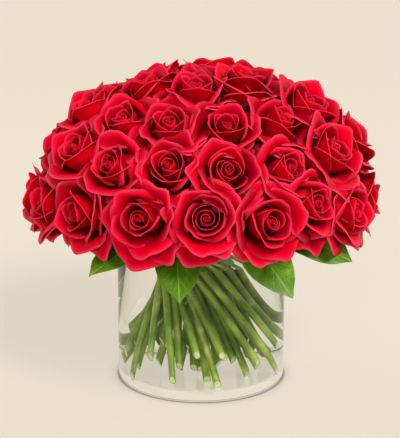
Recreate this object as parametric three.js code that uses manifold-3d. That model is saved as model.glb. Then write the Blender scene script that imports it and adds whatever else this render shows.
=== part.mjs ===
// A domed, spiral-bound bouquet of roses standing in a straight glass vase of water.
// Millimetres, +Z up. The origin is on the table under the middle of the vase, and the
// bouquet's front faces -Y. Azimuths are degrees from the front, growing towards +X.
import * as THREE from "three";
import { mergeVertices } from "three/addons/utils/BufferGeometryUtils.js";
import Module from "manifold-3d";

const wasm = await Module();
wasm.setup();

// Vase
const vaseDiameter = 152;
const vaseHeight = 152;
const vaseWall = 3.6;
const vaseFloor = 8;
const heelRadius = 6;
const floorCorner = 3;
const vaseSides = 32;

// Water
const waterBelowRim = 32;
const fitGap = 0.3;
const stemBoreGap = 0.4;

// Roses
const bloomDiameter = 60;
const bloomDepth = 48;
const calyxDiameter = 12;
const bloomSides = 7;
const widestDepth = 21;
const pressGap = 0.5;
const pressReach = 90;
const stemDiameter = 5.8;
const stemGap = 0.6;
const stemSides = 5;
const stemSteps = 4;
const stemJoint = 2;
const leaveShare = 0.35;
const arriveShare = 0.4;

// Dome through the middles of the bloom faces
const domeWidth = 314;
const domeRise = 129;
const domeAboveRim = 11;
const domeLean = 3;
const crownSink = 7;

// Waist where the stems cross, where they start to bend, and how far each turns above it
const waistBelowRim = 47;
const bendBelowRim = 27;
const spiralTurn = 52;
const wallClearance = 3;
const floorClearance = 2.5;
const shortestLift = 27;

// Leaves
const leafLength = 70;
const leafWidth = 42;
const leafThickness = 1.6;
const leafCurl = 11;
const stalkDiameter = 2.4;
const stalkDip = 12;
const rimClearance = 1.2;
const leafStandOff = 9;

const outerRadius = vaseDiameter / 2;
const innerRadius = outerRadius - vaseWall;
const stemRadius = stemDiameter / 2;
const waterTop = vaseHeight - waterBelowRim;
const waistHeight = vaseHeight - waistBelowRim;
const bendHeight = vaseHeight - bendBelowRim;

// Rows of roses from the crown down: polar is the angle from the top of the dome
const rows = [
  { polar: 0, azimuths: [0] },
  { polar: 20, azimuths: [-66, -6, 54, 114, 174, 234] },
  { polar: 41, azimuths: [-77, -44, -17, 13, 42, 69, 99, 129, 158, 188, 218, 250] },
  { polar: 60, azimuths: [-84, -60, -36, -12, 9, 32, 58, 82, 107, 131, 155, 180, 204, 228, 252] },
  { polar: 82, azimuths: [-87, -67, -46, -19, 2, 22, 41, 61, 83, 106, 128, 151, 174, 197, 220, 247] },
];

// Each leaf: where its stalk crosses the rim, how far its tip swings sideways, how far it hangs
// and how far the blade rolls about its midrib
const leaves = [
  { azimuth: -28, swing: -24, droop: 20, roll: -10 },
  { azimuth: -15, swing: 19, droop: 33, roll: 0 },
  { azimuth: 27, swing: 9, droop: 37, roll: 31 },
  { azimuth: 53, swing: 7, droop: 20, roll: 35 },
  { azimuth: 112, swing: 8, droop: 42, roll: 10 },
  { azimuth: 158, swing: -6, droop: 50, roll: -8 },
  { azimuth: 205, swing: 6, droop: 38, roll: 14 },
  { azimuth: 251, swing: -8, droop: 44, roll: -12 },
];

const bouquet = new THREE.Group();

function looks(color, roughness, metalness = 0) {
  return new THREE.MeshStandardMaterial({ color, roughness, metalness });
}

// Point at an azimuth, a radius and a height
function around(azimuth, radius, height) {
  const angle = THREE.MathUtils.degToRad(azimuth);
  return new THREE.Vector3(radius * Math.sin(angle), -radius * Math.cos(angle), height);
}

function solidOf(geometry) {
  const bare = geometry.clone();
  bare.deleteAttribute("normal");
  bare.deleteAttribute("uv");
  const merged = mergeVertices(bare, 1e-4);
  const mesh = new wasm.Mesh({
    numProp: 3,
    vertProperties: merged.attributes.position.array,
    triVerts: new Uint32Array(merged.index.array),
  });
  return new wasm.Manifold(mesh);
}

function geometryOf(solid) {
  const mesh = solid.getMesh();
  const geometry = new THREE.BufferGeometry();
  geometry.setAttribute("position", new THREE.BufferAttribute(mesh.vertProperties, 3));
  geometry.setIndex(new THREE.BufferAttribute(mesh.triVerts, 1));
  geometry.computeVertexNormals();
  return geometry;
}

function addPiece(name, geometry, material) {
  const piece = new THREE.Mesh(geometry, material);
  piece.name = name;
  bouquet.add(piece);
}

function round(outline, cx, cy, radius, from, to) {
  const steps = 3;
  for (let i = 0; i <= steps; i++) {
    const angle = THREE.MathUtils.degToRad(from + ((to - from) * i) / steps);
    outline.push(new THREE.Vector2(cx + radius * Math.cos(angle), cy + radius * Math.sin(angle)));
  }
}

// Turned outline about +Z, points as (radius, height)
function turned(outline, sides) {
  const geometry = new THREE.LatheGeometry(outline, sides);
  return geometry.rotateX(Math.PI / 2);
}

// Round bar of even thickness along a curve
function bar(curve, radius, sides, steps) {
  const section = new THREE.Shape();
  for (let i = 0; i < sides; i++) {
    const angle = (i * 2 * Math.PI) / sides;
    const x = radius * Math.cos(angle);
    const y = radius * Math.sin(angle);
    if (i === 0) section.moveTo(x, y);
    else section.lineTo(x, y);
  }
  section.closePath();
  return new THREE.ExtrudeGeometry(section, { steps, bevelEnabled: false, extrudePath: curve });
}

// Vase: a thick flat base with a rounded heel, a straight wall and a rounded rim
function vaseOutline() {
  const outline = [new THREE.Vector2(0, 0)];
  round(outline, outerRadius - heelRadius, heelRadius, heelRadius, -90, 0);
  round(outline, outerRadius - vaseWall / 2, vaseHeight - vaseWall / 2, vaseWall / 2, 0, 180);
  round(outline, innerRadius - floorCorner, vaseFloor + floorCorner, floorCorner, 0, -90);
  outline.push(new THREE.Vector2(0, vaseFloor));
  return outline;
}

addPiece("glass_vase", turned(vaseOutline(), vaseSides), looks(0xe8efe9, 0.05));

// Where a rose's face sits on the dome and which way it looks
function poseOf(row, azimuth) {
  const polar = THREE.MathUtils.degToRad(row.polar);
  const half = domeWidth / 2;
  const sink = row.polar === 0 ? crownSink : 0;
  const lean = THREE.MathUtils.degToRad(-domeLean);
  const ray = around(azimuth, Math.sin(polar), Math.cos(polar));
  ray.applyAxisAngle(new THREE.Vector3(1, 0, 0), lean);
  const size = new THREE.Vector3(half, half, domeRise);
  const middle = new THREE.Vector3(0, 0, vaseHeight + domeAboveRim - sink);
  const face = ray.clone().multiply(size).add(middle);
  const axis = ray.clone().divide(size).normalize();
  const calyx = face.clone().addScaledVector(axis, -bloomDepth);
  const heart = face.clone().addScaledVector(axis, -widestDepth);
  return { azimuth, face, axis, calyx, heart };
}

// Bloom outline as (radius, distance from the foot of the calyx)
function bloomOutline() {
  const r = bloomDiameter / 2;
  const d = bloomDepth;
  return [
    new THREE.Vector2(0, -2),
    new THREE.Vector2(calyxDiameter / 2, 0.06 * d),
    new THREE.Vector2(r, 0.66 * d),
    new THREE.Vector2(0.72 * r, d),
    new THREE.Vector2(0, 0.97 * d),
  ];
}

function place(geometry, origin, axis) {
  const turn = new THREE.Quaternion().setFromUnitVectors(new THREE.Vector3(0, 0, 1), axis);
  return geometry.clone().applyQuaternion(turn).translate(origin.x, origin.y, origin.z);
}

// The blooms press flat against each other: each is cut back to the plane halfway to its neighbour
function pressed(bloom, own, others) {
  const size = 2 * bloomDiameter;
  let solid = bloom;
  for (const other of others) {
    const apart = other.heart.clone().sub(own.heart);
    const distance = apart.length();
    if (distance > pressReach) continue;
    const direction = apart.normalize();
    const middle = own.heart.clone().addScaledVector(direction, (distance - pressGap + size) / 2);
    const block = place(new THREE.BoxGeometry(size, size, size), middle, direction);
    solid = solid.subtract(solidOf(block));
  }
  return solid;
}

const waistPitch = stemDiameter + stemGap;

// Straight part of a stem, from its cut end through the waist to where it bends
function lowerStem(rowNumber, index) {
  const count = rows[rowNumber].azimuths.length;
  const mean = rows[rowNumber].azimuths.reduce((sum, a) => sum + a, 0) / count;
  const spread = (index - (count - 1) / 2) * (360 / count);
  const azimuth = rowNumber === 0 ? 0 : mean + spread + spiralTurn;
  const waistRadius = rowNumber * waistPitch;
  const waist = around(azimuth, waistRadius, waistHeight);
  const widest = innerRadius - stemRadius - wallClearance;
  const endRadius = widest * (rowNumber / (rows.length - 1));
  const reach = Math.sqrt(Math.max(endRadius ** 2 - waistRadius ** 2, 0));
  const lowest = vaseFloor + floorClearance;
  const tangent = around(azimuth - 90, reach / (waistHeight - lowest), 1);
  const lift = (shortestLift * ((index * 3 + rowNumber) % 5)) / 4;
  const end = waist.clone().addScaledVector(tangent, lowest + lift - waistHeight);
  const bend = waist.clone().addScaledVector(tangent, bendHeight - waistHeight);
  return { end, bend, direction: tangent.normalize() };
}

// A stem is straight up through the waist, then bends over to come in behind its bloom
function stemSolid(rose) {
  const { end, bend, direction } = rose.lower;
  const span = rose.calyx.distanceTo(bend);
  const leave = bend.clone().addScaledVector(direction, leaveShare * span);
  const arrive = rose.calyx.clone().addScaledVector(rose.axis, -arriveShare * span);
  const arch = new THREE.CubicBezierCurve3(bend, leave, arrive, rose.calyx);
  const straight = new THREE.LineCurve3(end, bend.clone().addScaledVector(direction, stemJoint));
  const upper = solidOf(bar(arch, stemRadius, stemSides, stemSteps));
  return upper.add(solidOf(bar(straight, stemRadius, stemSides, 1)));
}

const roses = rows.flatMap((row, rowNumber) =>
  row.azimuths.map((azimuth, index) => ({
    ...poseOf(row, azimuth),
    lower: lowerStem(rowNumber, index),
  })),
);

const bloomShape = turned(bloomOutline(), bloomSides);
roses.forEach((rose, index) => {
  const others = roses.filter((other) => other !== rose);
  const bloom = pressed(solidOf(place(bloomShape, rose.calyx, rose.axis)), rose, others);
  const name = "rose_" + String(index + 1).padStart(2, "0");
  addPiece(name, geometryOf(bloom.add(stemSolid(rose))), looks(0xb00012, 0.55));
});

// Water fills the vase around the stems
function waterSolid() {
  const radius = innerRadius - fitGap;
  const bottom = vaseFloor + fitGap;
  const outline = [new THREE.Vector2(0, bottom)];
  round(outline, radius - floorCorner, bottom + floorCorner, floorCorner, -90, 0);
  outline.push(new THREE.Vector2(radius, waterTop), new THREE.Vector2(0, waterTop));
  let water = solidOf(turned(outline, vaseSides));
  for (const rose of roses) {
    const { end, bend, direction } = rose.lower;
    const foot = end.clone().addScaledVector(direction, -fitGap);
    const path = new THREE.LineCurve3(foot, bend);
    water = water.subtract(solidOf(bar(path, stemRadius + stemBoreGap, stemSides, 1)));
  }
  return water.decompose().sort((a, b) => b.volume() - a.volume())[0];
}

addPiece("water", geometryOf(waterSolid()), looks(0xdfeae6, 0.02));

// Leaf: a sphere drawn out into a thin pointed blade that curls down along its length
function leafBlade() {
  const blade = new THREE.SphereGeometry(1, 6, 8).rotateX(-Math.PI / 2);
  const spot = blade.attributes.position;
  for (let i = 0; i < spot.count; i++) {
    const along = (1 + spot.getZ(i)) / 2;
    const girth = Math.hypot(spot.getX(i), spot.getY(i)) || 1;
    const profile = Math.sin(Math.PI * along ** 0.8) ** 0.9;
    const across = (spot.getX(i) / girth) * (leafWidth / 2) * profile;
    const up = (spot.getY(i) / girth) * (leafThickness / 2) * profile;
    spot.setXYZ(i, along * leafLength, across, up - leafCurl * along ** 2);
  }
  return blade;
}

function leafSolid(leaf) {
  const foot = around(leaf.azimuth, outerRadius + leafStandOff, vaseHeight + 3);
  const heading = THREE.MathUtils.degToRad(leaf.azimuth + leaf.swing - 90);
  const hang = THREE.MathUtils.degToRad(leaf.droop - 8);
  const turn = new THREE.Matrix4().makeRotationZ(heading);
  turn.multiply(new THREE.Matrix4().makeRotationY(hang));
  turn.multiply(new THREE.Matrix4().makeRotationX(THREE.MathUtils.degToRad(leaf.roll)));
  turn.setPosition(foot);
  const blade = leafBlade().applyMatrix4(turn);
  const stalkRadius = stalkDiameter / 2;
  const overRim = vaseHeight + stalkRadius + rimClearance;
  const tuck = innerRadius - stalkRadius - rimClearance;
  const stalk = new THREE.CatmullRomCurve3([
    new THREE.Vector3(0.1 * leafLength, 0, 0).applyMatrix4(turn),
    around(leaf.azimuth, outerRadius, overRim),
    around(leaf.azimuth, tuck, overRim - 1),
    around(leaf.azimuth, tuck - 4, vaseHeight - stalkDip),
  ]);
  return solidOf(blade).add(solidOf(bar(stalk, stalkRadius, 5, 5)));
}

leaves.forEach((leaf, index) => {
  addPiece("leaf_" + (index + 1), geometryOf(leafSolid(leaf)), looks(0x4d7a12, 0.5));
});

export default bouquet;
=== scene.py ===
import math

import bpy
import numpy as np
from mathutils import Matrix, Vector


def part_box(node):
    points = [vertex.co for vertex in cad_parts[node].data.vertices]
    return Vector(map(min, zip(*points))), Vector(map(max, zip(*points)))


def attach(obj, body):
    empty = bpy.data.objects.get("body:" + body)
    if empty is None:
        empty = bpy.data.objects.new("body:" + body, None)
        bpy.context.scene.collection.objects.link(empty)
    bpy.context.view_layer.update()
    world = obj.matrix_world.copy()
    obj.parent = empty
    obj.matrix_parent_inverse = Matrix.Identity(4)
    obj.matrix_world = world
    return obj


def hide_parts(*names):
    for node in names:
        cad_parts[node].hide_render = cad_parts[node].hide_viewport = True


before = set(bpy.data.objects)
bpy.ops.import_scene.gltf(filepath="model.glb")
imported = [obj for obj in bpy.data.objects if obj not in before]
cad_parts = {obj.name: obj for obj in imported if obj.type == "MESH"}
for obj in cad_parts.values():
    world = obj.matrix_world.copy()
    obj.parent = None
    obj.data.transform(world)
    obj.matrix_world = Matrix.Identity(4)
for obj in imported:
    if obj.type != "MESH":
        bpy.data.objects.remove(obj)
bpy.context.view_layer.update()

mm = 0.001
rng = np.random.default_rng(11)

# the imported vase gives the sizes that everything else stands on
vaseLow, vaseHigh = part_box("glass_vase")
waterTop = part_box("water")[1].z
rimRadius = (vaseHigh.x - vaseLow.x) / 2
rimHeight = vaseHigh.z
wall = 3.6 * mm
innerRadius = rimRadius - wall
floorHeight = 8 * mm     # thickness of the glass base
near = 0.1 * mm          # how close a point is to count as on an edge


def linear(hexColour):
    channels = [int(hexColour[i:i + 2], 16) / 255 for i in (1, 3, 5)]
    return tuple(c / 12.92 if c <= 0.04045 else ((c + 0.055) / 1.055) ** 2.4 for c in channels) + (1.0,)


def smooth(x, low, high):
    t = np.clip((x - low) / (high - low), 0, 1)
    return t * t * (3 - 2 * t)


def around(azimuth, radius, height):    # azimuth 0 is the front, 90 the right
    a = math.radians(azimuth)
    return Vector((radius * math.sin(a), -radius * math.cos(a), height))


def only(piece):        # selected alone and active
    if bpy.context.object and bpy.context.object.mode != "OBJECT":
        bpy.ops.object.mode_set(mode="OBJECT")
    bpy.ops.object.select_all(action="DESELECT")
    piece.select_set(True)
    bpy.context.view_layer.objects.active = piece


def join(pieces):
    only(pieces[0])
    for piece in pieces[1:]:
        piece.select_set(True)
    bpy.ops.object.join()
    return bpy.context.object


def applyModifiers(piece):
    only(piece)
    for modifier in list(piece.modifiers):
        bpy.ops.object.modifier_apply(modifier=modifier.name)


def settle(piece):      # its place, turn and size go into its mesh
    only(piece)
    bpy.ops.object.transform_apply(location=True, rotation=True, scale=True)


def pickEdges(piece, wanted):       # by the distance of both ends from the axis, and their height
    bpy.ops.mesh.select_all(action="DESELECT")
    bpy.ops.object.mode_set(mode="OBJECT")
    bpy.context.tool_settings.mesh_select_mode = (False, True, False)
    for edge in piece.data.edges:
        ends = [piece.data.vertices[i].co for i in edge.vertices]
        edge.select = all(wanted(math.hypot(p.x, p.y), p.z) for p in ends)
    bpy.ops.object.mode_set(mode="EDIT")


def pickFaces(piece, wanted):
    bpy.ops.object.mode_set(mode="EDIT")
    bpy.ops.mesh.select_all(action="DESELECT")
    bpy.ops.object.mode_set(mode="OBJECT")
    bpy.context.tool_settings.mesh_select_mode = (False, False, True)
    for polygon in piece.data.polygons:
        polygon.select = wanted(polygon)
    bpy.ops.object.mode_set(mode="EDIT")


def copyOf(piece, name, matrix):
    twin = bpy.data.objects.new(name, piece.data.copy())
    bpy.context.scene.collection.objects.link(twin)
    twin.data.transform(matrix)
    return twin


def paint(piece, name, values):     # one colour for each point, read by a material
    layer = piece.data.attributes.new(name, "FLOAT_COLOR", "POINT")
    layer.data.foreach_set("color", np.asarray(values, np.float32).ravel())


def newMaterial(name):
    material = bpy.data.materials.new(name)
    material.use_nodes = True
    tree = material.node_tree
    tree.nodes.clear()
    return material, tree


# a key of settings that is a socket's name or number sets that socket, any other one the node
def addNode(tree, kind, settings=None, links=None):
    node = tree.nodes.new(kind)
    for key, value in (settings or {}).items():
        if isinstance(key, int) or key in node.inputs:
            node.inputs[key].default_value = value
        else:
            setattr(node, key, value)
    for key, source in (links or {}).items():
        tree.links.new(source, node.inputs[key])
    return node


def ramp(node, stops):      # a stop's colour is a hex value, or a plain grey number
    band = node.color_ramp
    while len(band.elements) < len(stops):
        band.elements.new(0.5)
    for element, (place, colour) in zip(band.elements, stops):
        element.position = place
        element.color = linear(colour) if isinstance(colour, str) else (colour, colour, colour, 1)
    return node


# Petal skin: velvety, almost no shine, its tiny cone cells give a soft sheen; a painted highlight makes
# the rims paler;
# broad 14 mm blotches under fine veins that run up the petal, less than 1 mm apart; painted shade darkens
# petal feet and inner petals
def petalMaterial(name, deep, mid, edge):
    material, tree = newMaterial(name)
    tone = addNode(tree, "ShaderNodeAttribute", {"attribute_name": "petalToneShadeHighlight"})
    parts = addNode(tree, "ShaderNodeSeparateColor", links={"Color": tone.outputs["Color"]})
    place = addNode(tree, "ShaderNodeTexCoord")
    blotch = addNode(tree, "ShaderNodeTexNoise", {"Scale": 70.0, "Detail": 3.0, "Roughness": 0.6},
                     {"Vector": place.outputs["Object"]})
    stretch = addNode(tree, "ShaderNodeMapping", {"Scale": (26.0, 2.2, 1.0)},
                      {"Vector": place.outputs["UV"]})
    vein = addNode(tree, "ShaderNodeTexNoise", {"Scale": 2.4, "Detail": 4.0, "Roughness": 0.65},
                   {"Vector": stretch.outputs["Vector"]})
    # the red channel is the petal's own tone with painted shade at its foot and on inner petals
    lift = addNode(tree, "ShaderNodeMath", {"operation": "MULTIPLY_ADD", 1: 0.30},
                   {0: blotch.outputs["Fac"], 2: parts.outputs["Red"]})
    lines = addNode(tree, "ShaderNodeMath", {"operation": "MULTIPLY_ADD", 1: 0.16},
                    {0: vein.outputs["Fac"], 2: lift.outputs["Value"]})
    body = ramp(addNode(tree, "ShaderNodeValToRGB", links={"Fac": lines.outputs["Value"]}),
                [(0.15, deep), (0.85, mid)])
    # the green channel paints a highlight along the rims
    pale = addNode(tree, "ShaderNodeMix", {"data_type": "RGBA"},
                   {"Factor": parts.outputs["Green"], "A": body.outputs["Color"]})
    pale.inputs["B"].default_value = linear(edge)
    bump = addNode(tree, "ShaderNodeBump", {"Strength": 0.22, "Distance": 0.0006},
                   {"Height": vein.outputs["Fac"]})
    rough = addNode(tree, "ShaderNodeMapRange", {"To Min": 0.42, "To Max": 0.62},
                    {"Value": blotch.outputs["Fac"]})
    skin = addNode(tree, "ShaderNodeBsdfPrincipled",
                   {"IOR": 1.4, "Sheen Weight": 0.04, "Sheen Roughness": 0.3,
                    "Subsurface Weight": 0.1, "Subsurface Scale": 0.003,
                    "Specular IOR Level": 0.08},
                   {"Base Color": pale.outputs["Result"], "Roughness": rough.outputs["Result"],
                    "Normal": bump.outputs["Normal"]})
    skin.inputs["Sheen Tint"].default_value = linear("#ff1030")
    skin.inputs["Specular Tint"].default_value = linear("#ff4058")
    skin.inputs["Subsurface Radius"].default_value = (1.0, 0.12, 0.1)
    addNode(tree, "ShaderNodeOutputMaterial", links={"Surface": skin.outputs["BSDF"]})
    return material


# last colour of each: the painted highlight along the rims; the first shows mostly where shade is painted
petalFace = petalMaterial("red rose petal, face", "#4c0003", "#d00018", "#ee3c66")
petalBack = petalMaterial("red rose petal, back", "#58000a", "#ca0020", "#ee5478")


# Rose stem and sepals: waxy green skin with a soft shine, mottled from dark to pale every 26 mm
# or so; real grain in the wax is finer, and its bump is drawn 1.1 mm wide so that it shows
def stemMaterial():
    material, tree = newMaterial("rose stem, waxy green skin")
    place = addNode(tree, "ShaderNodeTexCoord")
    patch = addNode(tree, "ShaderNodeTexNoise", {"Scale": 38.0, "Detail": 4.0, "Roughness": 0.6},
                    {"Vector": place.outputs["Object"]})
    grain = addNode(tree, "ShaderNodeTexNoise", {"Scale": 900.0, "Detail": 2.0},
                    {"Vector": place.outputs["Object"]})
    tint = ramp(addNode(tree, "ShaderNodeValToRGB", links={"Fac": patch.outputs["Fac"]}),
                [(0.28, "#32500a"), (0.45, "#527014"), (0.6, "#7a9030"), (0.78, "#b2be72")])
    bump = addNode(tree, "ShaderNodeBump", {"Strength": 0.25, "Distance": 0.0004},
                   {"Height": grain.outputs["Fac"]})
    rough = addNode(tree, "ShaderNodeMapRange", {"To Min": 0.36, "To Max": 0.55},
                    {"Value": patch.outputs["Fac"]})
    skin = addNode(tree, "ShaderNodeBsdfPrincipled", {"IOR": 1.4, "Specular IOR Level": 0.3},
                   {"Base Color": tint.outputs["Color"], "Roughness": rough.outputs["Result"],
                    "Normal": bump.outputs["Normal"]})
    addNode(tree, "ShaderNodeOutputMaterial", links={"Surface": skin.outputs["BSDF"]})
    return material


# Cut end of a stem: wet pale pith inside a darker green rind; its specks are drawn 1.4 mm wide,
# coarser than real ones, so that they show
def pithMaterial():
    material, tree = newMaterial("cut rose stem, wet pith")
    place = addNode(tree, "ShaderNodeTexCoord")
    speck = addNode(tree, "ShaderNodeTexNoise", {"Scale": 700.0, "Detail": 3.0},
                    {"Vector": place.outputs["Object"]})
    tint = ramp(addNode(tree, "ShaderNodeValToRGB", links={"Fac": speck.outputs["Fac"]}),
                [(0.3, "#8ea85e"), (0.7, "#c4d2a0")])
    bump = addNode(tree, "ShaderNodeBump", {"Strength": 0.3, "Distance": 0.0003},
                   {"Height": speck.outputs["Fac"]})
    rough = addNode(tree, "ShaderNodeMapRange", {"To Min": 0.35, "To Max": 0.6},
                    {"Value": speck.outputs["Fac"]})
    skin = addNode(tree, "ShaderNodeBsdfPrincipled",
                   links={"Base Color": tint.outputs["Color"], "Roughness": rough.outputs["Result"],
                          "Normal": bump.outputs["Normal"]})
    addNode(tree, "ShaderNodeOutputMaterial", links={"Surface": skin.outputs["BSDF"]})
    return material


# Leathery leaf: satin cuticle, paler midrib and side veins, 22 mm clouds of lighter green, and a
# net of cells that flecks it; real cells are finer and are drawn 2.4 mm wide so that they show
def leafMaterial():
    material, tree = newMaterial("lemon leaf, satin cuticle")
    tone = addNode(tree, "ShaderNodeAttribute", {"attribute_name": "leafTone"})
    parts = addNode(tree, "ShaderNodeSeparateColor", links={"Color": tone.outputs["Color"]})
    place = addNode(tree, "ShaderNodeTexCoord")
    cloud = addNode(tree, "ShaderNodeTexNoise", {"Scale": 45.0, "Detail": 4.0, "Roughness": 0.6},
                    {"Vector": place.outputs["Object"]})
    net = addNode(tree, "ShaderNodeTexVoronoi", {"Scale": 420.0, "feature": "DISTANCE_TO_EDGE"},
                  {"Vector": place.outputs["Object"]})
    cells = addNode(tree, "ShaderNodeMapRange", {"From Max": 0.12},
                    {"Value": net.outputs["Distance"]})
    speckle = addNode(tree, "ShaderNodeMath", {"operation": "MULTIPLY_ADD", 1: 0.16},
                      {0: cells.outputs["Result"], 2: cloud.outputs["Fac"]})
    body = ramp(addNode(tree, "ShaderNodeValToRGB", links={"Fac": speckle.outputs["Value"]}),
                [(0.38, "#2f5004"), (0.65, "#4e7a08"), (0.88, "#769e1c")])
    fold = addNode(tree, "ShaderNodeMath", {"operation": "PINGPONG", 1: 0.5},
                   {0: parts.outputs["Red"]})
    sideVein = addNode(tree, "ShaderNodeMapRange",
                       {"From Min": 0.015, "From Max": 0.06, "To Min": 1.0, "To Max": 0.0},
                       {"Value": fold.outputs["Value"]})
    fade = addNode(tree, "ShaderNodeMapRange",
                   {"From Min": 0.5, "From Max": 0.95, "To Min": 0.3, "To Max": 0.0},
                   {"Value": parts.outputs["Green"]})
    faint = addNode(tree, "ShaderNodeMath", {"operation": "MULTIPLY"},
                    {0: sideVein.outputs["Result"], 1: fade.outputs["Result"]})
    midrib = addNode(tree, "ShaderNodeMapRange",
                     {"From Min": 0.015, "From Max": 0.04, "To Min": 0.45, "To Max": 0.0},
                     {"Value": parts.outputs["Blue"]})
    vein = addNode(tree, "ShaderNodeMath", {"operation": "MAXIMUM"},
                   {0: faint.outputs["Value"], 1: midrib.outputs["Result"]})
    veined = addNode(tree, "ShaderNodeMix", {"data_type": "RGBA"},
                     {"Factor": vein.outputs["Value"], "A": body.outputs["Color"]})
    veined.inputs["B"].default_value = linear("#8cb04c")
    height = addNode(tree, "ShaderNodeMath", {"operation": "MULTIPLY_ADD", 1: 0.15},
                     {0: cells.outputs["Result"], 2: fold.outputs["Value"]})
    bump = addNode(tree, "ShaderNodeBump", {"Strength": 0.5, "Distance": 0.0006},
                   {"Height": height.outputs["Value"]})
    rough = addNode(tree, "ShaderNodeMapRange", {"To Min": 0.34, "To Max": 0.5},
                    {"Value": cloud.outputs["Fac"]})
    skin = addNode(tree, "ShaderNodeBsdfPrincipled",
                   {"IOR": 1.45, "Subsurface Weight": 0.08, "Subsurface Scale": 0.002},
                   {"Base Color": veined.outputs["Result"], "Roughness": rough.outputs["Result"],
                    "Normal": bump.outputs["Normal"]})
    skin.inputs["Subsurface Radius"].default_value = (0.6, 1.0, 0.1)
    addNode(tree, "ShaderNodeOutputMaterial", links={"Surface": skin.outputs["BSDF"]})
    return material


# Clear glass and water: they bend what stands behind, ripple a little every 70 mm, and glint only
# faintly; light for the stems and the table goes straight through, so what is inside stays lit
def clearMaterial(name, tint, ior, roughness, waviness, shine):
    material, tree = newMaterial(name)
    place = addNode(tree, "ShaderNodeTexCoord")
    wave = addNode(tree, "ShaderNodeTexNoise", {"Scale": 14.0, "Detail": 1.0},
                   {"Vector": place.outputs["Object"]})
    bump = addNode(tree, "ShaderNodeBump", {"Strength": waviness, "Distance": 0.002},
                   {"Height": wave.outputs["Fac"]})
    body = addNode(tree, "ShaderNodeBsdfPrincipled",
                   {"IOR": ior, "Roughness": roughness, "Transmission Weight": 1.0},
                   {"Normal": bump.outputs["Normal"]})
    body.inputs["Base Color"].default_value = linear(tint)
    body.inputs["Specular Tint"].default_value = (shine, shine, shine, 1)
    through = addNode(tree, "ShaderNodeBsdfTransparent")
    through.inputs["Color"].default_value = linear(tint)
    ray = addNode(tree, "ShaderNodeLightPath")
    lit = addNode(tree, "ShaderNodeMixShader",
                  links={"Fac": ray.outputs["Is Diffuse Ray"], 1: body.outputs["BSDF"],
                         2: through.outputs["BSDF"]})
    either = addNode(tree, "ShaderNodeMixShader",
                     links={"Fac": ray.outputs["Is Shadow Ray"], 1: lit.outputs["Shader"],
                            2: through.outputs["BSDF"]})
    addNode(tree, "ShaderNodeOutputMaterial", links={"Surface": either.outputs["Shader"]})
    return material


stemSkin = stemMaterial()
stemPith = pithMaterial()
leafSkin = leafMaterial()
vaseGlass = clearMaterial("soda-lime glass, pressed and fire-polished", tint="#fffffe",
                          ior=1.45, roughness=0.0, waviness=0.06, shine=0.15)
stillWater = clearMaterial("still water", tint="#ffffff",
                           ior=1.33, roughness=0.0, waviness=0.02, shine=0.15)


bloom = {
    "depth": 48,                    # calyx foot to the plane of the face, mm
    "petalFoot": 4,                 # height at which petals leave the calyx, mm
    "goldenTurn": 137.5,            # degrees from one petal to the next
    "crownSize": 1.1,               # the rose at the top is this much larger
    "seed": 20,
    "openness": (1.0, 0.96, 0.92, 1.02, 0.9, 0.98, 0.94, 1.04),     # one modelled bloom each
    "grids": (12, 17),              # divisions of an inner and an outer petal
    # how far open each petal is, from the heart out; past 1 hangs below the rest
    "petals": [0, 0.03, 0.07, 0.11, 0.16, 0.21, 0.26, 0.31, 0.37, 0.43, 0.49, 0.55, 0.62,
               0.72, 0.81, 0.88, 0.94, 1.0],
    "hanging": [1.08, 1.16],
    "openStops": [0, 0.2, 0.4, 0.6, 0.8, 1, 1.2],
    # lean away from the axis at the foot, 20 %, 50 %, 80 % and the tip of a petal, one row a stop
    "lean": [[44, 2, -8, -14, -18], [58, 16, 0, -5, -4], [68, 24, 3, -2, 10], [74, 28, 6, 6, 32],
             [76, 34, 14, 26, 62], [80, 42, 26, 50, 86], [84, 50, 40, 66, 96]],
    "length": [35, 38, 42, 45, 46, 43, 43],
    "halfWidth": [11, 15, 19, 23, 27, 29, 27],
    "roll": [0, 8, 22, 56, 74, 72, 44],         # extra lean where the upper corners roll back
    "rollWidth": [3, 3, 4, 6, 9, 11, 10],
    "curl": [0, 0.3, 0.9, 2.2, 4.2, 5.0, 4.0],  # sides turned out, mm
    "tuck": [0.6, 0.8, 1.0, 1.5, 2.2, 2.4, 1.5],        # one side out and one in, mm
    "ripple": [0.1, 0.2, 0.35, 0.6, 0.9, 1.1, 1.3],     # wavy edge, mm
    "crease": [0, 0, 0.2, 0.4, 0.8, 1.1, 1.6],  # ridge that runs to a pointed tip, mm
    "thickness": 0.4,                           # mm
}


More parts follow.
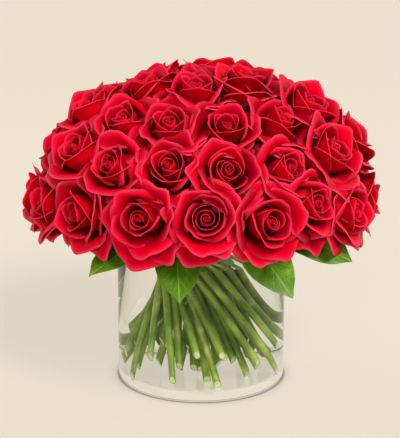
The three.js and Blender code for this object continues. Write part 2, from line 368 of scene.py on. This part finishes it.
def petalShape(u, v, petal):
    def at(key):
        return np.interp(petal["open"], bloom["openStops"], bloom[key])

    lean = np.array([np.interp(petal["open"], bloom["openStops"], column)
                     for column in zip(*bloom["lean"])])
    length = at("length") * petal["size"]
    side = np.abs(u)
    ridge = np.exp(-(u / 0.22) ** 2)
    nicks = 0.008 * np.sin(7 * u + petal["phase"]) + 0.004 * np.sin(15 * u + 2 * petal["phase"])
    reach = length * (1 - 0.1 * side ** 1.5 - 0.2 * side ** 4 + petal["point"] * ridge + nicks)
    along = v * reach
    t = along / length
    angle = np.interp(t, [0, 0.2, 0.5, 0.8, 1], lean) + petal["tilt"] * smooth(t, 0, 0.6)
    corner = 0.15 + 0.85 * smooth(side, 0.15, 0.8) * (1 + petal["skew"] * np.sign(u))
    rollWidth = at("rollWidth")
    edge = smooth(along - reach + rollWidth, 0, rollWidth)
    angle = np.radians(angle + petal["roll"] * at("roll") * corner * edge)
    # from foot to edge: each step of its length goes out and up by the lean at that place
    step = np.diff(along, axis=1)
    middle = (angle[:, 1:] + angle[:, :-1]) / 2
    start = np.zeros((u.shape[0], 1))
    radius = petal["foot"] + np.hstack([start, np.cumsum(np.sin(middle) * step, 1)])
    height = bloom["petalFoot"] + np.hstack([start, np.cumsum(np.cos(middle) * step, 1)])
    # across the petal: an arc of its true width about the bloom's axis, flatter further out
    half = at("halfWidth") * petal["size"] * (0.2 + 0.8 * np.sin(np.pi / 2 * np.clip(t / 0.62, 0, 1)))
    half = half * (1 - 0.12 * smooth(t, 0.7, 1))
    girth = np.maximum(radius, 1.6) * petal["flat"]
    arc = np.clip(u * half / girth, -2.9, 2.9)
    out = radius - girth * (1 - np.cos(arc))
    over = girth * np.sin(arc)
    # sides turned out, one side tucked in, a wavy edge and a ridge to the tip
    turned = smooth(side, 0.5, 1) ** 2 * at("curl") * smooth(v, 0.25, 0.8)
    wave = np.sin(petal["waves"] * u + petal["phase"])
    wave = wave + 0.5 * np.sin(2.3 * petal["waves"] * u + petal["phase"])
    push = turned + at("tuck") * u * smooth(v, 0.1, 0.6)
    push = push + (at("ripple") * wave + at("crease") * ridge) * v ** 2
    out = out + push * np.cos(arc)
    over = over + push * np.sin(arc) - 0.5 * turned * np.sign(u)
    height = height + 0.6 * at("ripple") * np.cos(1.7 * petal["waves"] * u + petal["phase"]) * v ** 2
    turn = petal["azimuth"] + petal["twist"] * v
    x = out * np.cos(turn) - over * np.sin(turn)
    y = out * np.sin(turn) + over * np.cos(turn)
    return np.stack([x, y, height], -1) * mm


def makePetal(petal, fine):
    bpy.ops.mesh.primitive_grid_add(x_subdivisions=fine, y_subdivisions=fine, size=2)
    piece = bpy.context.object
    count = len(piece.data.vertices)
    co = np.empty(count * 3)
    piece.data.vertices.foreach_get("co", co)
    co = co.reshape(-1, 3)
    order = np.lexsort((co[:, 1], co[:, 0]))
    grid = co[order].reshape(fine + 1, fine + 1, 3)
    u, v = grid[..., 0], (grid[..., 1] + 1) / 2
    points = petalShape(u, v, petal)
    co[order] = points.reshape(-1, 3)
    piece.data.vertices.foreach_set("co", co.ravel())
    # painted light: rims paler as if catching the light, feet and inner petals darker as if in shade
    margin = np.maximum(smooth(np.abs(u), 0.86, 1), smooth(v, 0.9, 1))
    glow = np.clip(0.5 * v ** 2 - 0.12 + 0.22 * petal["open"] + petal["tone"], 0, 1)
    rimHighlight = (0.04 + 0.42 * petal["open"]) * margin ** 2
    tone = np.ones((count, 4))
    tone[order, 0] = glow.ravel()       # deep to bright red: painted shade at petal feet and on inner petals, plus each petal's own tone
    tone[order, 1] = rimHighlight.ravel()      # painted highlight: a paler rim, stronger on open petals
    paint(piece, "petalToneShadeHighlight", tone)
    return piece


def makeBloom(name, seed, openness):
    dice = np.random.default_rng(seed)
    hand = 1 if seed % 2 else -1
    petals = []
    inner = [min(o * openness, 1.05) for o in bloom["petals"]]
    for i, opened in enumerate(inner + bloom["hanging"]):
        hanging = i >= len(inner)
        azimuth = hand * i * bloom["goldenTurn"] + dice.normal(0, 8)
        if hanging:
            azimuth = -90 + (-1) ** i * dice.uniform(12, 38)
        petal = {
            "open": opened + (0 if hanging else dice.normal(0, 0.012)),
            "size": 1 + dice.normal(0, 0.03),
            "azimuth": math.radians(azimuth),
            "foot": 0.4 + 3.4 * min(opened, 1),
            "tilt": dice.normal(0, 2.0 + 4 * min(opened, 1)),
            "roll": dice.uniform(0.5, 1.2),
            "skew": dice.uniform(-0.5, 0.5),
            "point": dice.uniform(0.02, 0.08) * min(opened, 1),
            "flat": 1 + dice.uniform(0.1, 0.45) * smooth(opened, 0.3, 0.9),
            "waves": dice.uniform(2.5, 4.5),
            "phase": dice.uniform(0, 6.28),
            "twist": math.radians(hand * 12 * (1 - min(opened, 1))),
            "tone": dice.normal(0, 0.09),
        }
        fine = bloom["grids"][0 if opened < 0.3 else 1]
        petals.append(makePetal(petal, fine))
    piece = join(petals)
    piece.name = name
    piece.data.materials.clear()
    for material in (petalFace, petalBack):
        piece.data.materials.append(material)
    shell = piece.modifiers.new("thickness", "SOLIDIFY")
    shell.thickness = bloom["thickness"] * mm
    shell.offset = 0
    shell.material_offset = 1
    shell.material_offset_rim = 1
    applyModifiers(piece)
    only(piece)
    bpy.ops.object.shade_smooth()
    return piece


calyx = {  # mm
    "hipRadius": 5.6, "hipLength": 9, "hipHeight": 2,
    "sepals": 5, "sepalLength": 26, "sepalWidth": 8, "sepalThickness": 0.5,
    "sepalRoot": (4, 5),            # out from the axis and up from the foot
}


def makeCalyx():
    bpy.ops.mesh.primitive_uv_sphere_add(segments=16, ring_count=10, radius=1)
    hip = bpy.context.object
    hip.scale = (calyx["hipRadius"] * mm, calyx["hipRadius"] * mm, calyx["hipLength"] / 2 * mm)
    hip.location = (0, 0, calyx["hipHeight"] * mm)
    settle(hip)
    pieces = [hip]
    for i in range(calyx["sepals"]):
        bpy.ops.mesh.primitive_grid_add(x_subdivisions=5, y_subdivisions=12, size=2)
        sepal = bpy.context.object
        turn = 2 * math.pi * i / calyx["sepals"]
        for vertex in sepal.data.vertices:
            u, v = vertex.co.x, (vertex.co.y + 1) / 2
            half = calyx["sepalWidth"] / 2 * (1 - v) ** 0.7 * (0.6 + 1.3 * v)
            half = half * (1 + 0.08 * math.sin(20 * v))
            bend = math.radians(35 + 95 * v + 10 * math.sin(i * 2.1))
            out = calyx["sepalRoot"][0] + calyx["sepalLength"] * v * math.sin(bend)
            up = calyx["sepalRoot"][1] + calyx["sepalLength"] * 0.55 * v * math.cos(bend) - 0.1 * u * u
            x, y = out, u * half
            vertex.co = Vector((x * math.cos(turn) - y * math.sin(turn),
                                x * math.sin(turn) + y * math.cos(turn), up)) * mm
        shell = sepal.modifiers.new("thickness", "SOLIDIFY")
        shell.thickness = calyx["sepalThickness"] * mm
        applyModifiers(sepal)
        pieces.append(sepal)
    piece = join(pieces)
    piece.data.materials.clear()
    piece.data.materials.append(stemSkin)
    only(piece)
    bpy.ops.object.shade_smooth()
    return piece


# the bouquet's layout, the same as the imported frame's
bouquet = {
    "domeWidth": 314 * mm,
    "domeRise": 129 * mm,
    "domeLean": 3,                  # degrees that the dome tips to the back
    "aboveRim": 11 * mm,            # the dome's middle over the rim
    "crownSink": 7 * mm,
    "waistBelowRim": 47 * mm,       # where the stems cross
    "bendBelowRim": 27 * mm,        # where they leave the straight for their blooms
    "spiralTurn": 52,
    "stemPitch": 6.4 * mm,          # between rings of stems at the waist
    "wallClearance": 3 * mm,
    "floorClearance": 2.5 * mm,
    "shortestLift": 27 * mm,        # the shortest stems end this far over the longest
    "rows": [                       # angle down from the crown, then each bloom's azimuth
        (0, [0]),
        (20, [-66, -6, 54, 114, 174, 234]),
        (41, [-77, -44, -17, 13, 42, 69, 99, 129, 158, 188, 218, 250]),
        (60, [-84, -60, -36, -12, 9, 32, 58, 82, 107, 131, 155, 180, 204, 228, 252]),
        (82, [-87, -67, -46, -19, 2, 22, 41, 61, 83, 106, 128, 151, 174, 197, 220, 247]),
    ],
}

# blooms off the even dome, by row and place: how far each stands proud, and how far it sags, mm
strays = {(1, 2): (5, 0), (2, 0): (4, 0), (2, 5): (9, 0), (3, 6): (7, 0), (3, 7): (10, 0),
          (4, 0): (6, 8), (4, 1): (4, 7), (4, 7): (5, 7), (4, 8): (6, 9), (4, 3): (0, -3), (4, 4): (0, -3),
          (4, 6): (0, -6)}

stem = {
    "radius": 2.9 * mm, "sides": 3, "unevenness": 0.05,
    "leave": 0.35, "arrive": 0.4,   # how stiffly a stem leaves the waist and meets its bloom
    "slant": 1.2, "rind": 0.55 * mm,
    "stray": 4.5 * mm, "strayPast": 1.5 * mm,   # of the cut ends, and how far past the outer ring
}


def bloomPose(polar, azimuth):
    p = math.radians(polar)
    half, rise = bouquet["domeWidth"] / 2, bouquet["domeRise"]
    ray = around(azimuth, math.sin(p), math.cos(p))
    ray = Matrix.Rotation(math.radians(-bouquet["domeLean"]), 3, "X") @ ray
    sink = 0 if polar else bouquet["crownSink"]
    middle = Vector((0, 0, rimHeight + bouquet["aboveRim"] - sink))
    face = Vector((ray.x * half, ray.y * half, ray.z * rise)) + middle
    return face, Vector((ray.x / half, ray.y / half, ray.z / rise)).normalized()


def stemLine(rowNumber, index, azimuths):
    count = len(azimuths)
    mean = sum(azimuths) / count
    azimuth = mean + (index - (count - 1) / 2) * 360 / count + bouquet["spiralTurn"]
    azimuth = azimuth if rowNumber else 0
    waistRadius = rowNumber * bouquet["stemPitch"]
    waistHeight = rimHeight - bouquet["waistBelowRim"]
    waist = around(azimuth, waistRadius, waistHeight)
    widest = innerRadius - stem["radius"] - bouquet["wallClearance"]
    endRadius = widest * rowNumber / (len(bouquet["rows"]) - 1)
    reach = math.sqrt(max(endRadius ** 2 - waistRadius ** 2, 0))
    lowest = floorHeight + bouquet["floorClearance"]
    tangent = around(azimuth - 90, reach / (waistHeight - lowest), 1)
    lift = bouquet["shortestLift"] * ((index * 3 + rowNumber) % 5) / 4
    end = waist + tangent * (lowest + lift - waistHeight)
    end += Vector((rng.normal(0, stem["stray"]), rng.normal(0, stem["stray"]), 0)) * (rowNumber > 0)
    outside = math.hypot(end.x, end.y) / (widest + stem["strayPast"])
    if outside > 1:
        end = Vector((end.x / outside, end.y / outside, end.z))
    bend = waist + tangent * (rimHeight - bouquet["bendBelowRim"] - waistHeight)
    return end, bend, (bend - end).normalized()


def makeStem(name, end, bend, direction, foot, axis):
    span = (foot - bend).length
    leave = bend + direction * stem["leave"] * span
    arrive = foot - axis * stem["arrive"] * span
    points = [end.lerp(bend, t) for t in np.linspace(0, 1, 9)[:-1]]
    for t in np.linspace(0, 1, 14):
        points.append(bend * (1 - t) ** 3 + leave * 3 * t * (1 - t) ** 2
                      + arrive * 3 * t ** 2 * (1 - t) + foot * t ** 3)
    curve = bpy.data.curves.new(name, "CURVE")
    curve.dimensions = "3D"
    curve.bevel_depth = stem["radius"]
    curve.bevel_resolution = stem["sides"]
    curve.use_fill_caps = True
    spline = curve.splines.new("POLY")
    spline.points.add(len(points) - 1)
    for i, (spot, point) in enumerate(zip(spline.points, points)):
        spot.co = (*point, 1)
        spot.radius = 1 + stem["unevenness"] * math.sin(i * 1.3 + end.x * 90)
    piece = bpy.data.objects.new(name, curve)
    bpy.context.scene.collection.objects.link(piece)
    only(piece)
    bpy.ops.object.convert(target="MESH")
    piece = bpy.context.object
    piece.data.materials.clear()
    piece.data.materials.append(stemSkin)
    piece.data.materials.append(stemPith)
    # the cut slants, so that its face turns outward, and its pale pith shows inside the green rind
    outward = Vector((end.x, end.y, 0))
    outward = outward.normalized() if outward.length > mm else Vector((0, -1, 0))
    grain = (points[1] - end).normalized()
    for vertex in piece.data.vertices:
        if abs((vertex.co - end).dot(grain)) < 2 * near:
            vertex.co += grain * (vertex.co - end).dot(outward) * stem["slant"]
    cut = (outward * stem["slant"] - grain).normalized()
    pickFaces(piece, lambda f: f.normal.dot(cut) > 0.9 and (f.center - end).length < 2 * stem["radius"])
    bpy.ops.mesh.inset(thickness=stem["rind"])
    bpy.ops.object.mode_set(mode="OBJECT")
    for face in piece.data.polygons:
        if face.select:
            face.material_index = 1
    only(piece)
    bpy.ops.object.shade_smooth_by_angle(angle=math.radians(50))
    return piece


blooms = [makeBloom("bloom%d" % i, bloom["seed"] + i, openness)
          for i, openness in enumerate(bloom["openness"])]
calyxMaster = makeCalyx()
print("blooms modelled:", [len(b.data.polygons) for b in blooms])

roseNumber = 0
for rowNumber, (polar, azimuths) in enumerate(bouquet["rows"]):
    for index, azimuth in enumerate(azimuths):
        roseNumber += 1
        face, axis = bloomPose(polar, azimuth)
        proud, sag = strays.get((rowNumber, index), (0, 0))
        foot = face - axis * (bloom["depth"] - proud) * mm - Vector((0, 0, sag * mm))
        # each bloom is turned so that its hanging petals point down
        low = Vector((0, 0, -1)) + axis * axis.z if polar else Vector((0, -1, 0))
        low.normalize()
        turn = Matrix((low.cross(axis) * -1, -low, axis)).transposed().to_4x4()
        spin = Matrix.Rotation(rng.normal(0, 0.35), 4, "Z")
        nod = Matrix.Rotation(rng.normal(0, 0.08), 4, "X")
        nod = nod @ Matrix.Rotation(rng.normal(0, 0.08), 4, "Y")
        grown = rng.uniform(0.98, 1.07) * (1 if polar else bloom["crownSize"])
        size = Matrix.Scale(grown, 4)
        place = Matrix.Translation(foot) @ turn @ nod @ spin
        master = blooms[(3 * index + rowNumber * 5 + int(rng.integers(2))) % len(blooms)]
        name = "redRose%02d" % roseNumber
        head = copyOf(master, name, place @ size)
        green = copyOf(calyxMaster, "calyx", place)
        end, bend, direction = stemLine(rowNumber, index, azimuths)
        stalk = makeStem("stalk", end, bend, direction, foot, axis)
        rose = join([head, green, stalk])
        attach(rose, "root")
        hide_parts("rose_%02d" % roseNumber)
for master in blooms + [calyxMaster]:
    bpy.data.objects.remove(master)
print("roses placed:", roseNumber)


leaf = {
    "length": 71, "width": 45, "curl": 11, "fold": 0.14, "thickness": 0.4, "veins": 7, "teeth": 46,
    "grid": (72, 20), "seed": 60,
    "stalkRadius": 1.2 * mm, "rimClearance": 1.2 * mm, "standOff": 9 * mm, "dip": 12 * mm,
    "places": [                     # azimuth at the rim, sideways swing, droop, roll
        (-28, -24, 20, -10), (-15, 19, 33, 0), (27, 9, 37, 31), (53, 7, 20, 35),
        (112, 8, 42, 10), (158, -6, 50, -8), (205, 6, 38, 14), (251, -8, 44, -12),
    ],
}


def makeLeaf(name, azimuth, swing, droop, roll, seed):
    dice = np.random.default_rng(seed)
    rows, columns = leaf["grid"]
    bpy.ops.mesh.primitive_grid_add(x_subdivisions=rows, y_subdivisions=columns, size=2)
    blade = bpy.context.object
    count = len(blade.data.vertices)
    co = np.empty(count * 3)
    blade.data.vertices.foreach_get("co", co)
    co = co.reshape(-1, 3)
    v, u = (co[:, 0] + 1) / 2, co[:, 1]
    side = np.abs(u)
    widest = 0.4386     # greatest value of the plain outline below
    profile = (v ** 0.62) * (1 - v) ** 0.8
    profile = profile / widest * (1 - 0.35 * smooth(v, 0.82, 1))
    saw = (v * leaf["teeth"]) % 1 - 0.5
    teeth = 1 + 0.022 * smooth(side, 0.9, 1) * saw * smooth(v, 0.08, 0.2)
    across = u * leaf["width"] / 2 * profile * teeth
    veinPhase = (v - 0.28 * side ** 0.8 + 0.02 * np.sign(u)) * leaf["veins"] * 1.25
    ridge = np.abs((veinPhase % 1) - 0.5) * 2
    quilt = np.sin(np.pi * np.clip(1 - ridge, 0, 1)) * side * (1 - side)
    up = leaf["fold"] * np.abs(across) - leaf["curl"] * v ** 2 + 1.0 * quilt
    up += dice.uniform(0.8, 1.6) * side ** 2 * np.sin(2 * np.pi * (1.6 * v + dice.uniform()))
    co[:, 0], co[:, 1], co[:, 2] = v * leaf["length"] * mm, across * mm, up * mm
    blade.data.vertices.foreach_set("co", co.ravel())
    # which side vein, how near the edge, and how far from the midrib as a part of 20 mm
    tone = np.stack([veinPhase, side, np.abs(across) / 20, np.ones(count)], -1)
    paint(blade, "leafTone", tone)
    shell = blade.modifiers.new("thickness", "SOLIDIFY")
    shell.thickness = leaf["thickness"] * mm
    shell.offset = 0
    applyModifiers(blade)
    foot = around(azimuth, rimRadius + leaf["standOff"], rimHeight + 3 * mm)
    turn = Matrix.Translation(foot) @ Matrix.Rotation(math.radians(azimuth + swing - 90), 4, "Z")
    turn = turn @ Matrix.Rotation(math.radians(droop - 8), 4, "Y")
    turn = turn @ Matrix.Rotation(math.radians(roll), 4, "X")
    blade.data.transform(turn)
    blade.matrix_world = Matrix()
    blade.data.materials.clear()
    blade.data.materials.append(leafSkin)
    overRim = rimHeight + leaf["stalkRadius"] + leaf["rimClearance"]
    tuck = innerRadius - leaf["stalkRadius"] - leaf["rimClearance"]
    route = [turn @ Vector((0.1 * leaf["length"] * mm, 0, 0)), turn @ Vector((0, 0, 0)),
             around(azimuth, rimRadius, overRim), around(azimuth, tuck, overRim - 1 * mm),
             around(azimuth, tuck - 4 * mm, rimHeight - leaf["dip"])]
    curve = bpy.data.curves.new("leafStalk", "CURVE")
    curve.dimensions = "3D"
    curve.bevel_depth = leaf["stalkRadius"]
    curve.bevel_resolution = 2
    curve.resolution_u = 6
    curve.use_fill_caps = True
    spline = curve.splines.new("NURBS")
    spline.points.add(len(route) - 1)
    spline.use_endpoint_u = True
    spline.order_u = 3
    for spot, point in zip(spline.points, route):
        spot.co = (*point, 1)
    stalk = bpy.data.objects.new("leafStalk", curve)
    bpy.context.scene.collection.objects.link(stalk)
    only(stalk)
    bpy.ops.object.convert(target="MESH")
    stalk = bpy.context.object
    stalk.data.materials.clear()
    stalk.data.materials.append(leafSkin)
    piece = join([blade, stalk])
    piece.name = name
    bpy.ops.object.shade_smooth()
    return piece


for number, place in enumerate(leaf["places"], 1):
    piece = makeLeaf("lemonLeaf%d" % number, *place, seed=leaf["seed"] + number)
    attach(piece, "root")
    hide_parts("leaf_%d" % number)
print("leaves placed:", len(leaf["places"]))


# how far each edge of the glass is rounded; the water reaches a little into the wall, so that no
# air shows between, and creeps up it at the top
vase = {"sides": 128, "heel": 4 * mm, "rim": 1.75 * mm, "corner": 5 * mm}
water = {"sides": 128, "overlap": 0.05 * mm, "meniscus": 1.2 * mm}


def makeVase():
    bpy.ops.object.select_all(action="DESELECT")
    bpy.ops.mesh.primitive_cylinder_add(vertices=vase["sides"], radius=rimRadius, depth=rimHeight,
                                        end_fill_type="NGON", location=(0, 0, rimHeight / 2))
    piece = bpy.context.object
    piece.name = "clearVase"
    settle(piece)
    pickFaces(piece, lambda f: f.normal.z > 0.9)
    bpy.ops.mesh.inset(thickness=wall)
    bpy.ops.mesh.extrude_region_move(TRANSFORM_OT_translate={"value": (0, 0, floorHeight - rimHeight)})
    pickEdges(piece, lambda r, z: abs(r - rimRadius) < near and z < near)
    bpy.ops.mesh.bevel(offset=vase["heel"], segments=6)
    pickEdges(piece, lambda r, z: z > rimHeight - near)
    bpy.ops.mesh.bevel(offset=vase["rim"], segments=4)
    pickEdges(piece, lambda r, z: abs(r - innerRadius) < near and abs(z - floorHeight) < near)
    bpy.ops.mesh.bevel(offset=vase["corner"], segments=5)
    bpy.ops.object.mode_set(mode="OBJECT")
    piece.data.materials.append(vaseGlass)
    only(piece)
    bpy.ops.object.shade_smooth_by_angle(angle=math.radians(50))
    return piece


def makeWater():
    bpy.ops.object.select_all(action="DESELECT")
    bottom = floorHeight - water["overlap"]
    radius = innerRadius + water["overlap"]
    bpy.ops.mesh.primitive_cylinder_add(vertices=water["sides"], radius=radius, depth=waterTop - bottom,
                                        end_fill_type="NGON", location=(0, 0, (waterTop + bottom) / 2))
    piece = bpy.context.object
    piece.name = "vaseWater"
    settle(piece)
    pickFaces(piece, lambda f: f.normal.z > 0.9)
    bpy.ops.mesh.inset(thickness=water["meniscus"])
    bpy.ops.mesh.inset(thickness=water["meniscus"])
    bpy.ops.object.mode_set(mode="OBJECT")
    for vertex in piece.data.vertices:
        out = radius - math.hypot(vertex.co.x, vertex.co.y)
        if vertex.co.z > waterTop - near:
            vertex.co.z += water["meniscus"] * max(0, 1 - out / (2 * water["meniscus"])) ** 2
    bpy.ops.object.mode_set(mode="EDIT")
    pickEdges(piece, lambda r, z: z < bottom + near)
    bpy.ops.mesh.bevel(offset=vase["corner"], segments=5)
    bpy.ops.object.mode_set(mode="OBJECT")
    piece.data.materials.append(stillWater)
    only(piece)
    bpy.ops.object.shade_smooth_by_angle(angle=math.radians(40))
    return piece


for piece, node, slot in ((makeVase(), "glass_vase", "clear_glass"), (makeWater(), "water", "water")):
    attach(piece, "root")
    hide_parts(node)
print("vase and water modelled")


studio = {
    "table": "#ebe1d0",
    "paint": 0.2,                   # how much of the table takes shadows
    "glow": 0.94,                   # the rest shines evenly, so that it stays pale all over
    "lift": 0.05 * mm,              # the table stands just inside the glass base and brightens it
    "skyColour": "#fdfaf5", "skyStrength": 0.34,
}

bpy.ops.object.select_all(action="DESELECT")
bpy.ops.mesh.primitive_plane_add(size=40, location=(0, 0, studio["lift"]))
ground = bpy.context.object
ground.name = "studioFloor"
# matt paint: pale and even, with no gloss beside the glass
material, tree = newMaterial("painted table top, matt")
place = addNode(tree, "ShaderNodeTexCoord")
# painted contact shadow: dark rings on the table at the foot of the vase and just inside it
flat = addNode(tree, "ShaderNodeVectorMath", {"operation": "MULTIPLY", 1: (1, 1, 0)},
               {0: place.outputs["Object"]})
fromAxis = addNode(tree, "ShaderNodeVectorMath", {"operation": "LENGTH"},
                   {0: flat.outputs["Vector"]})
nearFoot = addNode(tree, "ShaderNodeMapRange",
                   {"From Min": rimRadius - 16 * mm, "From Max": rimRadius + 12 * mm},
                   {"Value": fromAxis.outputs["Value"]})
paintedContactShadow = ramp(addNode(tree, "ShaderNodeValToRGB", links={"Fac": nearFoot.outputs["Result"]}),
               [(0, 1.0), (0.25, 0.9), (0.36, 0.62), (0.48, 0.86), (0.55, 0.34), (0.59, 0.45),
                (0.65, 0.85), (0.8, 0.96), (1, 1.0)])
shaded = addNode(tree, "ShaderNodeMix",
                 {"data_type": "RGBA", "blend_type": "MULTIPLY", "Factor": 1.0},
                 {"B": paintedContactShadow.outputs["Color"]})
shaded.inputs["A"].default_value = linear(studio["table"])
paintCoat = addNode(tree, "ShaderNodeBsdfDiffuse", links={"Color": shaded.outputs["Result"]})
softGlow = addNode(tree, "ShaderNodeEmission", {"Strength": studio["glow"]},
                   {"Color": shaded.outputs["Result"]})
both = addNode(tree, "ShaderNodeMixShader", {"Fac": studio["paint"]},
               {1: softGlow.outputs["Emission"], 2: paintCoat.outputs["BSDF"]})
addNode(tree, "ShaderNodeOutputMaterial", links={"Surface": both.outputs["Shader"]})
ground.data.materials.append(material)

scene = bpy.context.scene
world = bpy.data.worlds.new("studio air")
scene.world = world
world.use_nodes = True
sky = world.node_tree.nodes["Background"]
sky.inputs["Color"].default_value = linear(studio["skyColour"])
sky.inputs["Strength"].default_value = studio["skyStrength"]


def addSun(name, azimuth, elevation, strength, angle, colour):
    lamp = bpy.data.lights.new(name, "SUN")
    lamp.energy = strength
    lamp.angle = math.radians(angle)
    lamp.color = linear(colour)[:3]
    piece = bpy.data.objects.new(name, lamp)
    e = math.radians(elevation)
    back = around(azimuth, math.cos(e), math.sin(e))
    piece.rotation_euler = (-back).to_track_quat("-Z", "Y").to_euler()
    scene.collection.objects.link(piece)


def addSoftbox(name, place, target, width, height, power, colour):
    lamp = bpy.data.lights.new(name, "AREA")
    lamp.shape = "RECTANGLE"
    lamp.size, lamp.size_y = width, height
    lamp.energy = power
    lamp.color = linear(colour)[:3]
    piece = bpy.data.objects.new(name, lamp)
    piece.location = place
    piece.rotation_euler = (Vector(target) - Vector(place)).to_track_quat("-Z", "Y").to_euler()
    piece.visible_camera = False
    piece.visible_transmission = False  # else the boxes show as white blobs through the base
    scene.collection.objects.link(piece)


addSun("keySun", azimuth=32, elevation=42, strength=3.5, angle=24, colour="#fffaf4")
addSun("frontFill", azimuth=-18, elevation=15, strength=1.5, angle=30, colour="#fffcf8")
softbox = {"distance": 1.3, "height": 0.35, "target": (0, 0, 0.08), "size": (0.3, 1.1), "power": 8}
for side, azimuth in (("left", -118), ("right", 122)):
    addSoftbox(side + "Softbox", around(azimuth, softbox["distance"], softbox["height"]),
               softbox["target"], *softbox["size"], softbox["power"], "#ffffff")

camera = {"elevation": 16, "distance": 1.5, "target": (-0.001, 0, 0.147), "focal": 136.7, "sensor": 36}
lens = bpy.data.cameras.new("studioCamera")
lens.lens = camera["focal"]
lens.sensor_width = camera["sensor"]
eye = bpy.data.objects.new("studioCamera", lens)
tilt = math.radians(camera["elevation"])
back = Vector((0, -math.cos(tilt), math.sin(tilt)))
eye.location = Vector(camera["target"]) + back * camera["distance"]
eye.rotation_euler = (-back).to_track_quat("-Z", "Y").to_euler()
lens.clip_start, lens.clip_end = 0.05, 60
scene.collection.objects.link(eye)
scene.camera = eye
scene.view_settings.view_transform = "Standard"
